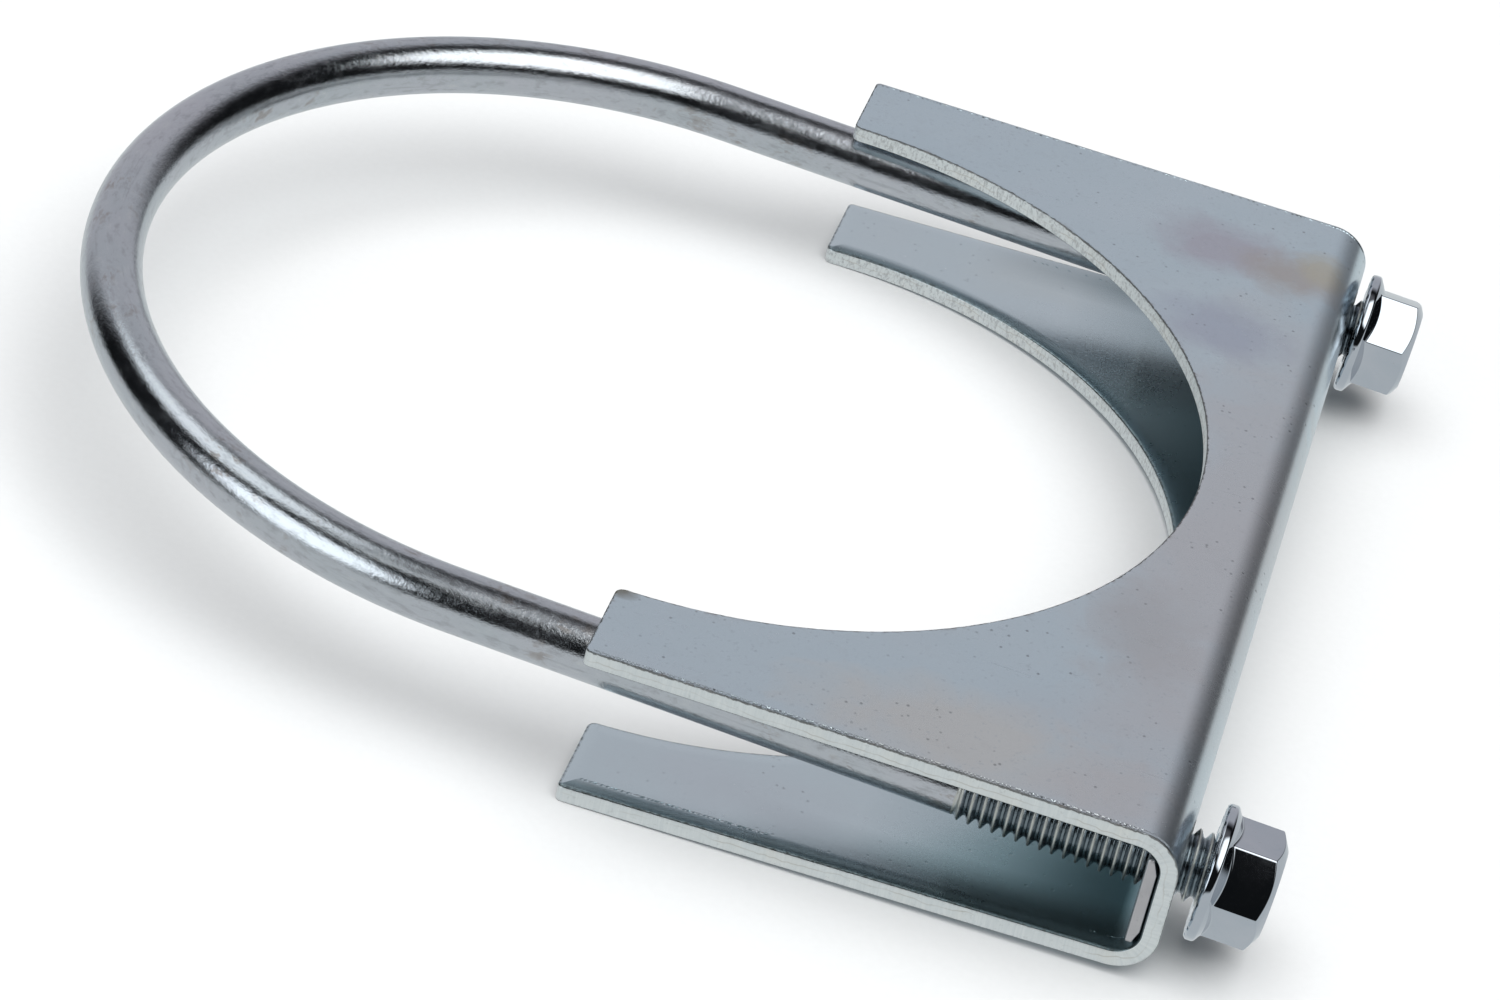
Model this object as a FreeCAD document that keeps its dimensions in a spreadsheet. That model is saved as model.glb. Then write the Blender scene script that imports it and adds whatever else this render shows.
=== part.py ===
import FreeCAD, Part
import math
import os

import Sketcher

# Exhaust saddle clamp for a 5 inch pipe: a folded saddle with a backing strap, a U-bolt
# and two flange nuts.
#
# Frame: millimetres. The origin is the centre of the pipe seat at the saddle's mid height.
# +X runs along the bolt's legs towards the nuts, +Y from the near leg to the far leg and
# +Z along the pipe's axis.
#
# The bolt leans in its holes, so the bolt and the nuts are drawn straight in a bolt frame
# whose origin lies midway between the legs on the web's outer face.

# Name, value and what it is. Lengths are in millimetres and angles in degrees.
DIMENSIONS = (
    ("sheet_gauge", 2.66, "saddle sheet, 12 gauge"),
    ("saddle_span", 158.0, "saddle length across both legs"),
    ("web_face", 77.1, "outer face of the web, from the pipe seat's centre"),
    ("arm_tip", 1.2, "how far the arms run past the pipe seat's centre"),
    ("web_height", 21.2, "height over the two bends"),
    ("bend_radius", 6.0, "outer radius of the bends"),
    ("flange_splay", 1.05, "how far each flange leans out"),
    ("seat_radius", 64.2, "cut-out that cradles the pipe"),
    ("arm_inner_round", 1.2, "corner of an arm's tip at the cut-out"),
    ("arm_outer_round", 0.8, "outer corner of an arm's tip"),
    ("hole_radius", 5.6, "leg holes in the web and the strap"),
    ("hole_cut", 5.0, "how deep those holes are cut, through the sheet and its bends"),
    ("strap_gauge", 1.65, "backing strap sheet"),
    ("strap_height", 13.5, "backing strap, along the pipe's axis"),
    ("strap_flat", 9.2, "strap height between the edges that clear the bends"),
    ("strap_relief", 0.8, "how deep those edges are cut back"),
    ("strap_inset", 0.4, "strap end, in from the saddle's end"),
    ("leg_spacing", 137.0, "between the leg axes"),
    ("bow_back", 97.9, "bow's centre, back from the web's outer face"),
    ("leg_ahead", 9.5, "leg end past the web's outer face"),
    ("shank_radius", 4.245, "rod before threading"),
    ("bolt_tilt", 3.05, "how far the bolt leans in its holes"),
    ("bolt_rise", 0.3, "height of the leg axes at the web's outer face"),
    ("thread_back", 29.7, "thread start, back from the web's outer face"),
    ("thread_pitch", 1.5875, "16 threads per inch"),
    ("crest_radius", 4.72, "outside of the bolt's thread"),
    ("thread_depth", 0.92, "crest to root"),
    ("crest_flat", 0.198, "width of a crest"),
    ("thread_room", 0.32, "radial room between the nut's and the bolt's threads"),
    ("leg_bevel", 0.9, "bevel at a leg's end"),
    ("nut_height", 8.9, "bearing face to outer end"),
    ("nut_flats", 13.8, "across the hexagon's flats"),
    ("flange_radius", 9.0, "nut flange"),
    ("rim_start", 0.3, "rim edge nearest the web"),
    ("rim_end", 1.35, "rim edge where the cone starts"),
    ("face_radius", 8.65, "outside of the bearing face"),
    ("cone_end", 3.6, "cone's end, inside the hexagon"),
    ("cone_end_radius", 6.75, "cone radius at that end"),
    ("end_ring_radius", 5.8, "flat ring at the nut's outer end"),
    ("end_bevel", 30.0, "angle of the bevel around that ring"),
    ("countersink", 1.05, "bevel at each mouth of the nut's bore"),
    ("groove_depth", 0.28, "locking grooves in the bearing face"),
    ("groove_half_width", 0.5, "half the width of a locking groove"),
    ("groove_reach", 2.2, "radial length of a locking groove"),
    ("near_turn", 202.7, "turn of the near nut about its leg"),
    ("near_pitches", 20.0, "whole pitches from the thread's start to the near nut"),
    ("far_turn", 125.9, "turn of the far nut about its leg"),
    ("far_pitches", 19.0, "whole pitches from the thread's start to the far nut"),
    ("flank_angle", 30.0, "thread flank, from square to the axis"),
    ("overcut", 0.1, "how far a cutting profile runs past the surface it cuts"),
)
SIZE = {name: value for name, value, _ in DIMENSIONS}
LEG_COUNT = 2
HEXAGON_SIDES = 6
GROOVE_COUNT = 24
HALF_TURN = 180.0
FULL_TURN = 360.0

# Which leg a nut is on: the sign of its Y.
NEAR = -1
FAR = 1

# How closely an edge has to lie where the rounding looks for it.
NEARBY = 0.05

# Lengths that several profiles share, written with the sheet's names.
SPLAY = "tan(dims.flange_splay * 1 deg)"
SHEET_Z = "dims.sheet_gauge / cos(dims.flange_splay * 1 deg)"
OUTER_TIP_Z = f"(dims.web_height / 2 + (dims.web_face + dims.arm_tip) * {SPLAY})"
INNER_TIP_Z = f"({OUTER_TIP_Z} - {SHEET_Z})"
INNER_CORNER_Z = f"(dims.web_height / 2 + dims.sheet_gauge * {SPLAY} - {SHEET_Z})"
INNER_FACE = "(dims.web_face - dims.sheet_gauge)"
FLANK = "tan(dims.flank_angle * 1 deg)"
BORE = "(dims.crest_radius - dims.thread_depth + dims.thread_room)"
HALF_GROOVE = "((dims.thread_pitch - dims.crest_flat) / 2)"
HEX_CORNER = "(dims.nut_flats / 2 / cos(30 deg))"
NUT_ROOT = "(dims.crest_radius + dims.thread_room)"
NUT_MOUTH = f"(dims.crest_flat / 2 + (dims.thread_depth + dims.overcut) * {FLANK})"
BEVEL_REACH = "(dims.flange_radius - dims.end_ring_radius)"


def dimension_sheet(doc):
    """The driving dimensions, one alias per row."""
    sheet = doc.addObject("Spreadsheet::Sheet", "dims")
    for row, (name, value, note) in enumerate(DIMENSIONS, start=1):
        sheet.set(f"A{row}", note)
        sheet.set(f"B{row}", str(value))
        sheet.setAlias(f"B{row}", name)
    doc.recompute()


def new_body(doc, label):
    body = doc.addObject("PartDesign::Body", label)
    body.Label = label
    return body


def plane_of(body, role):
    return next(f for f in body.Origin.OriginFeatures if f.Role == role)


def new_sketch(body, name, role, ahead="0", aside="0"):
    """A sketch on one of the body's planes, ahead along its normal, aside along its own Y."""
    sketch = body.newObject("Sketcher::SketchObject", name)
    sketch.AttachmentSupport = [(plane_of(body, role), "")]
    sketch.MapMode = "FlatFace"
    sketch.setExpression("AttachmentOffset.Base.y", aside)
    sketch.setExpression("AttachmentOffset.Base.z", ahead)
    return sketch


def pin(sketch, kind, geometry, point, expression):
    """Fix a point's distance from the sketch's origin along one axis."""
    index = sketch.addConstraint(Sketcher.Constraint(kind, -1, 1, geometry, point, 1.0))
    sketch.setExpression(f"Constraints[{index}]", expression)


def outline(sketch, corners):
    """A closed outline of straight lines through the corners, each one an (x, y) pair."""
    count = len(corners)
    step = 2 * math.pi / count
    start = [FreeCAD.Vector(math.cos(step * n), math.sin(step * n), 0) for n in range(count)]
    first = sketch.GeometryCount
    for n in range(count):
        sketch.addGeometry(Part.LineSegment(start[n], start[(n + 1) % count]), False)
    for n in range(count):
        following = first + (n + 1) % count
        sketch.addConstraint(Sketcher.Constraint("Coincident", first + n, 2, following, 1))
    for n, (x, y) in enumerate(corners):
        pin(sketch, "DistanceX", first + n, 1, x)
        pin(sketch, "DistanceY", first + n, 1, y)


def ring(sketch, x, y, radius):
    """A circle with its centre at (x, y)."""
    circle = Part.Circle(FreeCAD.Vector(1, 1, 0), FreeCAD.Vector(0, 0, 1), 1)
    index = sketch.addGeometry(circle, False)
    pin(sketch, "DistanceX", index, 3, x)
    pin(sketch, "DistanceY", index, 3, y)
    size = sketch.addConstraint(Sketcher.Constraint("Radius", index, 1.0))
    sketch.setExpression(f"Constraints[{size}]", radius)


def straight(body, kind, name, sketch, length, symmetric=False, reverse=False):
    """A pad or a pocket."""
    feature = body.newObject(kind, name)
    feature.Profile = sketch
    feature.setExpression("Length", length)
    feature.SideType = "Symmetric" if symmetric else "One side"
    feature.Reversed = reverse
    sketch.Visibility = False
    return feature


def turned(body, kind, name, sketch, axis, angle=FULL_TURN):
    """A revolution or a groove about one of the sketch's own axes."""
    feature = body.newObject(kind, name)
    feature.Profile = sketch
    feature.ReferenceAxis = (sketch, [axis])
    feature.Angle = angle
    sketch.Visibility = False
    return feature


def helical_cut(body, name, sketch, height):
    """A right-handed helical groove about the sketch's horizontal axis."""
    feature = body.newObject("PartDesign::SubtractiveHelix", name)
    feature.Profile = sketch
    feature.ReferenceAxis = (sketch, ["H_Axis"])
    feature.Mode = "pitch-height-angle"
    feature.setExpression("Pitch", "dims.thread_pitch")
    feature.setExpression("Height", height)
    feature.LeftHanded = False
    sketch.Visibility = False
    return feature


def rounded(body, name, radius, wanted):
    """Round the edges whose middle the test picks."""
    body.Document.recompute()
    base = body.Tip
    edges = enumerate(base.Shape.Edges, start=1)
    names = [f"Edge{number}" for number, edge in edges if wanted(edge)]
    feature = body.newObject("PartDesign::Fillet", name)
    feature.Base = (base, names)
    feature.setExpression("Radius", radius)
    return feature


def middle(edge):
    return edge.valueAt((edge.FirstParameter + edge.LastParameter) / 2)


def along_y(edge, x):
    """Does the edge run along Y at this x?"""
    tangent = edge.tangentAt(edge.FirstParameter)
    return abs(middle(edge).x - x) < NEARBY and abs(abs(tangent.y) - 1) < NEARBY


def tip_corner(edge, y):
    """Is the edge one of the short upright ones at an arm's tip, at this distance from the middle?"""
    at = middle(edge)
    upright = abs(edge.tangentAt(edge.FirstParameter).z) > 1 - NEARBY
    return upright and abs(at.x + SIZE["arm_tip"]) < NEARBY and abs(abs(at.y) - y) < NEARBY


def leg_holes(body, ahead):
    """Two holes for the bolt's legs, cut back from a plane square to X."""
    sketch = new_sketch(body, f"{body.Name}_hole_plan", "YZ_Plane", ahead)
    for side in (NEAR, FAR):
        ring(sketch, f"{side} * dims.leg_spacing / 2", "0", "dims.hole_radius")
    return straight(body, "PartDesign::Pocket", f"{body.Name}_holes", sketch, "dims.hole_cut")


def make_saddle(doc):
    """A channel folded from one sheet, with the pipe's seat cut through both flanges."""
    body = new_body(doc, "saddle")
    section = new_sketch(body, "saddle_section", "XZ_Plane")
    outline(
        section,
        (
            ("dims.web_face", "-dims.web_height / 2"),
            ("dims.web_face", "dims.web_height / 2"),
            ("-dims.arm_tip", OUTER_TIP_Z),
            ("-dims.arm_tip", INNER_TIP_Z),
            (INNER_FACE, INNER_CORNER_Z),
            (INNER_FACE, f"-{INNER_CORNER_Z}"),
            ("-dims.arm_tip", f"-{INNER_TIP_Z}"),
            ("-dims.arm_tip", f"-{OUTER_TIP_Z}"),
        ),
    )
    straight(body, "PartDesign::Pad", "channel", section, "dims.saddle_span", symmetric=True)
    outer = SIZE["web_face"]
    inner = outer - SIZE["sheet_gauge"]
    rounded(body, "outer_bends", "dims.bend_radius", lambda edge: along_y(edge, outer))
    rounded(
        body,
        "inner_bends",
        "dims.bend_radius - dims.sheet_gauge",
        lambda edge: along_y(edge, inner),
    )
    seat = new_sketch(body, "seat_plan", "XY_Plane")
    ring(seat, "0", "0", "dims.seat_radius")
    through = f"2 * ({OUTER_TIP_Z} + dims.overcut)"
    straight(body, "PartDesign::Pocket", "seat", seat, through, symmetric=True)
    at_seat = math.sqrt(SIZE["seat_radius"] ** 2 - SIZE["arm_tip"] ** 2)
    at_end = SIZE["saddle_span"] / 2
    rounded(body, "inner_tips", "dims.arm_inner_round", lambda edge: tip_corner(edge, at_seat))
    rounded(body, "outer_tips", "dims.arm_outer_round", lambda edge: tip_corner(edge, at_end))
    leg_holes(body, "dims.web_face")
    return body


def make_backing_strap(doc):
    """A flat strap inside the channel, its long edges cut back to clear the bends."""
    body = new_body(doc, "backing_strap")
    section = new_sketch(body, "strap_section", "XZ_Plane")
    back = f"({INNER_FACE} - dims.strap_gauge)"
    cut = f"({INNER_FACE} - dims.strap_relief)"
    outline(
        section,
        (
            (back, "-dims.strap_height / 2"),
            (back, "dims.strap_height / 2"),
            (cut, "dims.strap_height / 2"),
            (INNER_FACE, "dims.strap_flat / 2"),
            (INNER_FACE, "-dims.strap_flat / 2"),
            (cut, "-dims.strap_height / 2"),
        ),
    )
    length = "dims.saddle_span - dims.strap_inset * 2"
    straight(body, "PartDesign::Pad", "strap", section, length, symmetric=True)
    leg_holes(body, INNER_FACE)
    return body


def add_shank(body):
    """The plain part of both legs, and the half-circle bow between them."""
    legs = new_sketch(body, "leg_plan", "YZ_Plane", "-dims.bow_back")
    for side in (NEAR, FAR):
        ring(legs, f"{side} * dims.leg_spacing / 2", "0", "dims.shank_radius")
    straight(body, "PartDesign::Pad", "legs", legs, "dims.bow_back - dims.thread_back")
    rod = new_sketch(body, "bow_section", "YZ_Plane", "-dims.bow_back")
    ring(rod, "dims.leg_spacing / 2", "0", "dims.shank_radius")
    turned(body, "PartDesign::Revolution", "bow", rod, "V_Axis", HALF_TURN)


def add_leg_blank(body):
    """The near leg's end before its thread is cut, a little thicker than the shank."""
    blank = new_sketch(body, "blank_profile", "XY_Plane", aside="-dims.leg_spacing / 2")
    outline(
        blank,
        (
            ("-dims.thread_back", "0"),
            ("-dims.thread_back", "dims.shank_radius"),
            ("-dims.thread_back + dims.crest_radius - dims.shank_radius", "dims.crest_radius"),
            ("dims.leg_ahead - dims.leg_bevel", "dims.crest_radius"),
            ("dims.leg_ahead", "dims.crest_radius - dims.leg_bevel"),
            ("dims.leg_ahead", "0"),
        ),
    )
    return turned(body, "PartDesign::Revolution", "thread_blank", blank, "H_Axis")


def cut_leg_thread(body):
    """The near leg's thread, cut to past the leg's end."""
    groove = new_sketch(body, "groove_profile", "XY_Plane", aside="-dims.leg_spacing / 2")
    centre = "(-dims.thread_back + dims.thread_pitch / 2)"
    top = f"({HALF_GROOVE} + dims.overcut * {FLANK})"
    root = f"({HALF_GROOVE} - dims.thread_depth * {FLANK})"
    outline(
        groove,
        (
            (f"{centre} - {top}", "dims.crest_radius + dims.overcut"),
            (f"{centre} - {root}", "dims.crest_radius - dims.thread_depth"),
            (f"{centre} + {root}", "dims.crest_radius - dims.thread_depth"),
            (f"{centre} + {top}", "dims.crest_radius + dims.overcut"),
        ),
    )
    height = "dims.thread_back + dims.leg_ahead + dims.thread_pitch"
    return helical_cut(body, "thread_groove", groove, height)


def make_u_bolt(doc):
    """A round rod bent to a half circle, with a rolled thread on both legs."""
    body = new_body(doc, "u_bolt")
    add_shank(body)
    near_leg = [add_leg_blank(body), cut_leg_thread(body)]
    both = body.newObject("PartDesign::LinearPattern", "both_legs")
    both.Originals = near_leg
    both.Direction = (plane_of(body, "Y_Axis"), [""])
    both.setExpression("Length", "dims.leg_spacing")
    both.Occurrences = LEG_COUNT
    body.Tip = both
    body.setExpression(
        "Placement",
        "placement(vector(dims.web_face; 0; dims.bolt_rise); rotationy(dims.bolt_tilt))",
    )
    return body


def add_nut_flange(body):
    """The round flange with the cone behind it."""
    profile = new_sketch(body, f"{body.Name}_flange_profile", "XY_Plane")
    outline(
        profile,
        (
            ("0", BORE),
            ("0", "dims.face_radius"),
            ("dims.rim_start", "dims.flange_radius"),
            ("dims.rim_end", "dims.flange_radius"),
            ("dims.cone_end", "dims.cone_end_radius"),
            ("dims.cone_end", BORE),
        ),
    )
    turned(body, "PartDesign::Revolution", f"{body.Name}_flange", profile, "H_Axis")


def add_nut_hexagon(body):
    """The hexagon, from the flange's rim to the nut's outer end, with a plain bore."""
    hexagon = new_sketch(body, f"{body.Name}_hexagon_plan", "YZ_Plane", "dims.rim_end")
    turns = [(n + 0.5) * FULL_TURN / HEXAGON_SIDES for n in range(HEXAGON_SIDES)]
    outline(
        hexagon,
        [(f"{HEX_CORNER} * cos({a} deg)", f"{HEX_CORNER} * sin({a} deg)") for a in turns],
    )
    height = "dims.nut_height - dims.rim_end"
    straight(body, "PartDesign::Pad", f"{body.Name}_hexagon", hexagon, height)
    bore = new_sketch(body, f"{body.Name}_bore_plan", "YZ_Plane", "dims.nut_height")
    ring(bore, "0", "0", BORE)
    depth = "dims.nut_height + dims.overcut"
    straight(body, "PartDesign::Pocket", f"{body.Name}_bore", bore, depth)


def cut_nut_bevels(body):
    """The bevel round the outer end, and the countersink at each mouth of the bore."""
    bevels = new_sketch(body, f"{body.Name}_bevel_profile", "XY_Plane")
    bevel_end = f"dims.nut_height - {BEVEL_REACH} * tan(dims.end_bevel * 1 deg)"
    outline(
        bevels,
        (
            ("dims.nut_height", "dims.end_ring_radius"),
            ("dims.nut_height", "dims.flange_radius"),
            (bevel_end, "dims.flange_radius"),
        ),
    )
    for mouth, inward in (("0", "+"), ("dims.nut_height", "-")):
        outline(
            bevels,
            (
                (mouth, f"{BORE} - dims.overcut"),
                (mouth, f"{BORE} + dims.countersink"),
                (f"{mouth} {inward} (dims.countersink + dims.overcut)", f"{BORE} - dims.overcut"),
            ),
        )
    turned(body, "PartDesign::Groove", f"{body.Name}_bevels", bevels, "H_Axis")


def cut_nut_grooves(body):
    """The locking grooves round the bearing face."""
    past_rim = "dims.flange_radius + dims.overcut"
    notch = new_sketch(body, f"{body.Name}_notch_profile", "XZ_Plane", past_rim)
    outline(
        notch,
        (
            ("-dims.groove_depth", "-dims.groove_half_width * 2"),
            ("-dims.groove_depth", "dims.groove_half_width * 2"),
            ("dims.groove_depth", "0"),
        ),
    )
    length = "dims.groove_reach + dims.overcut"
    first = straight(body, "PartDesign::Pocket", f"{body.Name}_notch", notch, length)
    around = body.newObject("PartDesign::PolarPattern", f"{body.Name}_notches")
    around.Originals = [first]
    around.Axis = (plane_of(body, "X_Axis"), [""])
    around.Angle = FULL_TURN
    around.Occurrences = GROOVE_COUNT
    body.Tip = around


def cut_nut_thread(body):
    """The bore's thread, from a pitch before the nut to a pitch past it."""
    groove = new_sketch(body, f"{body.Name}_groove_profile", "XY_Plane")
    outline(
        groove,
        (
            (f"-dims.thread_pitch - {NUT_MOUTH}", f"{BORE} - dims.overcut"),
            ("-dims.thread_pitch - dims.crest_flat / 2", NUT_ROOT),
            ("-dims.thread_pitch + dims.crest_flat / 2", NUT_ROOT),
            (f"-dims.thread_pitch + {NUT_MOUTH}", f"{BORE} - dims.overcut"),
        ),
    )
    helical_cut(body, f"{body.Name}_thread", groove, "dims.nut_height + 2 * dims.thread_pitch")


def put_on_leg(body, name, side):
    """Place a nut on its leg, turned so that its thread meets the bolt's."""
    turns = f"(dims.{name}_pitches + dims.{name}_turn / {FULL_TURN})"
    ahead = f"(dims.thread_pitch * {turns} - dims.thread_back)"
    body.setExpression(
        "Placement",
        f"placement(vector(dims.web_face + {ahead} * cos(dims.bolt_tilt * 1 deg);"
        f" {side} * dims.leg_spacing / 2;"
        f" dims.bolt_rise - {ahead} * sin(dims.bolt_tilt * 1 deg));"
        f" rotationy(dims.bolt_tilt) * rotationx(dims.{name}_turn))",
    )


def make_nut(doc, name, side):
    """A hexagon nut with a cone-backed flange, drawn with its bearing face at x = 0."""
    body = new_body(doc, f"nut_{name}")
    add_nut_flange(body)
    add_nut_hexagon(body)
    cut_nut_bevels(body)
    cut_nut_grooves(body)
    cut_nut_thread(body)
    put_on_leg(body, name, side)
    return body


def faults(doc):
    """Objects that didn't compute."""
    return [o.Name for o in doc.Objects if {"Invalid", "Error"} & set(o.State)]


def main():
    doc = FreeCAD.newDocument("saddle_clamp")
    dimension_sheet(doc)
    bodies = [
        make_saddle(doc),
        make_backing_strap(doc),
        make_u_bolt(doc),
        make_nut(doc, "near", NEAR),
        make_nut(doc, "far", FAR),
    ]
    doc.recompute()
    broken = faults(doc)
    if broken:
        raise RuntimeError(f"these objects did not compute: {broken}")
    for body in bodies:
        if body.Shape.isNull() or not body.Shape.isValid() or len(body.Shape.Solids) != 1:
            raise RuntimeError(f"{body.Label} is not one valid solid")
    os.makedirs("parts", exist_ok=True)
    for body in bodies:
        body.Shape.exportStep(f"parts/{body.Label}.step")
        print(body.Label, "volume in cubic millimetres:", round(body.Shape.Volume, 1))


main()
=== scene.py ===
import math

import bmesh
import bpy
from mathutils import Matrix, Vector
from mathutils.geometry import tessellate_polygon


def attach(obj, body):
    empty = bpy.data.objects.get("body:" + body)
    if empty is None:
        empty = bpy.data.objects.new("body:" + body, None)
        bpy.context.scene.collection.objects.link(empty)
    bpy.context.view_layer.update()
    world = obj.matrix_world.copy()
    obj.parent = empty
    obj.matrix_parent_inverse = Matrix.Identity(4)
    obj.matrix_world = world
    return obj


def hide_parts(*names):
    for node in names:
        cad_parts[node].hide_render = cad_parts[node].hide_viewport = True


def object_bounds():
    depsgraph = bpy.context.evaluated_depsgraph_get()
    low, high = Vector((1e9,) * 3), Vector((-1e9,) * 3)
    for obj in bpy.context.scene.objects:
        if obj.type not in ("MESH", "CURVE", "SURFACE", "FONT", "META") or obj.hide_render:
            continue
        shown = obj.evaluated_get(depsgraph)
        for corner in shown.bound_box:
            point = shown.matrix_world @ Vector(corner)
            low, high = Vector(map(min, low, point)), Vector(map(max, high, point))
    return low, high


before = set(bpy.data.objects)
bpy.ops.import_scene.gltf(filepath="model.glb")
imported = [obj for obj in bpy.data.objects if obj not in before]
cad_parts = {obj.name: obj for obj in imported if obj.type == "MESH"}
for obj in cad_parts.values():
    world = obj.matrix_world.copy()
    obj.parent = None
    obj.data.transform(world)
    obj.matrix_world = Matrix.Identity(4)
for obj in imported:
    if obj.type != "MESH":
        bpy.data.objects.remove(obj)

# Exhaust saddle clamp. Shapes are built in millimetres, in the CAD's own frame, and scaled
# to metres when they become meshes.

MM = 0.001
CAD_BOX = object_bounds()

# The CAD's driving sizes, in millimetres and degrees.
GAUGE = 2.66
SPAN = 158.0
WEB_FACE = 77.1
ARM_TIP = 1.2
WEB_HEIGHT = 21.2
BEND_OUTER = 6.0
SPLAY = math.radians(1.05)
SEAT_RADIUS = 64.2
INNER_ROUND = 1.2
OUTER_ROUND = 0.8
HOLE_RADIUS = 5.6
STRAP_GAUGE = 1.65
STRAP_HEIGHT = 13.5
STRAP_FLAT = 9.2
STRAP_RELIEF = 0.8
STRAP_INSET = 0.4
LEG_SPACING = 137.0
BOW_BACK = 97.9
LEG_AHEAD = 9.5
SHANK = 4.22  # a hair under the CAD rod, whose faceted bow bounds the part
TILT = math.radians(3.05)
RISE = 0.3
THREAD_BACK = 29.7
PITCH = 1.5875
CREST = 4.72
DEPTH = 0.92
CREST_FLAT = 0.198
ROOM = 0.32
LEG_BEVEL = 0.9
NUT_HEIGHT = 8.9
FLATS = 13.8
FLANGE = 9.0
RIM_START = 0.3
RIM_END = 1.35
FACE_RADIUS = 8.65
END_RING = 5.8
COUNTERSINK = 1.05
GROOVE_DEPTH = 0.28
GROOVE_HALF = 0.5
GROOVE_REACH = 2.2
GROOVES = 24
# Each nut's side, whole pitches from the thread's start and turn in degrees.
NUTS = {"near": (-1, 20.0, 202.7), "far": (1, 19.0, 125.9)}
TAN30 = math.tan(math.radians(30))
TURN = 2 * math.pi

# Details of the visible shape, in millimetres: the smallest corner radius, the strap's and the
# hexagon's corners, and how far the nut's thread runs into each countersink.
LEAST_ROUND = 0.03
STRAP_CORNER = 0.5
HEX_ROUND = 0.3
BORE_LIP = 0.55
# How far the nut's cone rises for each millimetre inwards. The CAD's is steeper and rises by 1.
CONE_RISE = 0.6
# How far the arm tips stay inside the CAD solid.
TIP_CLEAR = 0.03
# The burr on the far half, as a share of the near half's.
FAR_BURR = 0.15
# Added to the inset stored on a sheet's inner side, so that a material can tell the sides apart.
INNER_SIDE = 9.0

# How finely the meshes are divided.
TIP_POINTS = 30
EDGE_POINTS = 660
SEAT_POINTS = 420
HOLE_POINTS = 72
BEND_STEPS = 18
ROD_POINTS = 64
ROWS_PER_PITCH = 16
SHANK_ROWS = 24
BOW_ROWS = 120
BORE_ROWS_PER_PITCH = 10
# The rings on the rod's end faces, as shares of its radius.
END_RINGS = (0.93, 0.45)

# Shading: how much the flats' own normals count, and the turn in degrees that makes an edge.
FLAT_WEIGHT = 80
SHARP_TURN = 50


# ---------------------------------------------------------------- mesh helpers

def new_piece(name, verts, faces, smooth=True):
    """An object from millimetre points."""
    mesh = bpy.data.meshes.new(name)
    mesh.from_pydata([tuple(c * MM for c in v) for v in verts], [], faces)
    mesh.update()
    mesh.validate()
    obj = bpy.data.objects.new(name, mesh)
    bpy.context.scene.collection.objects.link(obj)
    for polygon in mesh.polygons:
        polygon.use_smooth = smooth
    return obj


def outward(obj):
    """Point the faces outwards."""
    bm = bmesh.new()
    bm.from_mesh(obj.data)
    bmesh.ops.recalc_face_normals(bm, faces=bm.faces)
    bm.to_mesh(obj.data)
    bm.free()


def keep_vector(obj, name, values):
    """A value per point that a material reads."""
    layer = obj.data.attributes.new(name, "FLOAT_VECTOR", "POINT")
    layer.data.foreach_set("vector", [c for v in values for c in v])


def weigh_normals(obj):
    """Let the big flats keep their own normals and the rounded edges take up the turn."""
    modifier = obj.modifiers.new("weighted", "WEIGHTED_NORMAL")
    modifier.weight = FLAT_WEIGHT
    modifier.keep_sharp = True


def bolt_frame(x, y, z):
    """A point of the leaning bolt, in the row frame."""
    return (
        WEB_FACE + x * math.cos(TILT) + z * math.sin(TILT),
        y,
        RISE - x * math.sin(TILT) + z * math.cos(TILT),
    )


def smooth_step(t):
    """0 to 1 smoothly as t goes from 0 to 1."""
    t = min(1.0, max(0.0, t))
    return t * t * (3 - 2 * t)


# ---------------------------------------------------------------- sheet pieces

def stitch(bm, lower, upper):
    """A band of faces between two closed loops of as many points."""
    count = len(lower)
    for n in range(count):
        after = (n + 1) % count
        bm.faces.new((lower[n], lower[after], upper[after], upper[n]))


def plate(outlines, rings):
    """A flat plate, lying in XY and centred on its thickness.

    outlines are functions that give a closed loop of points set in by a distance. rings go
    round an edge from one face to the other, as (inset, height, roughness) triples.
    """
    bm = bmesh.new()
    set_in = bm.verts.layers.float.new("inset")
    first, last = [], []
    for outline in outlines:
        loops = []
        for n, (inset, height, rough) in enumerate(rings):
            loop = []
            for k, (x, y) in enumerate(outline(inset)):
                near = 1.0 if y < 0 else FAR_BURR
                jitter = near * rough * (fract_noise(k * 0.61 + n * 7.3) - 0.5)
                vert = bm.verts.new((x, y, height + jitter))
                vert[set_in] = inset if height > 0 else INNER_SIDE + inset
                loop.append(vert)
            loops.append(loop)
        for lower, upper in zip(loops, loops[1:]):
            stitch(bm, lower, upper)
        first.append(loops[0])
        last.append(loops[-1])
    for side in (first, last):
        flat = [[v.co.copy() for v in loop] for loop in side]
        joined = [v for loop in side for v in loop]
        for a, b, c in tessellate_polygon(flat):
            bm.faces.new((joined[a], joined[b], joined[c]))
    bmesh.ops.recalc_face_normals(bm, faces=bm.faces)
    return bm


def fract_noise(value):
    """A repeatable number from 0 to 1 that jumps about as value grows."""
    return abs(math.sin(value * 12.9898) * 43758.5453) % 1


def cut_across(bm, positions, axis):
    """Cut the mesh across at each position so that it can bend there."""
    for at in positions:
        point = [0, 0, 0]
        normal = [0, 0, 0]
        point[axis] = at
        normal[axis] = 1
        geometry = bm.verts[:] + bm.edges[:] + bm.faces[:]
        bmesh.ops.bisect_plane(bm, geom=geometry, dist=1e-5, plane_co=point, plane_no=normal)


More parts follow.
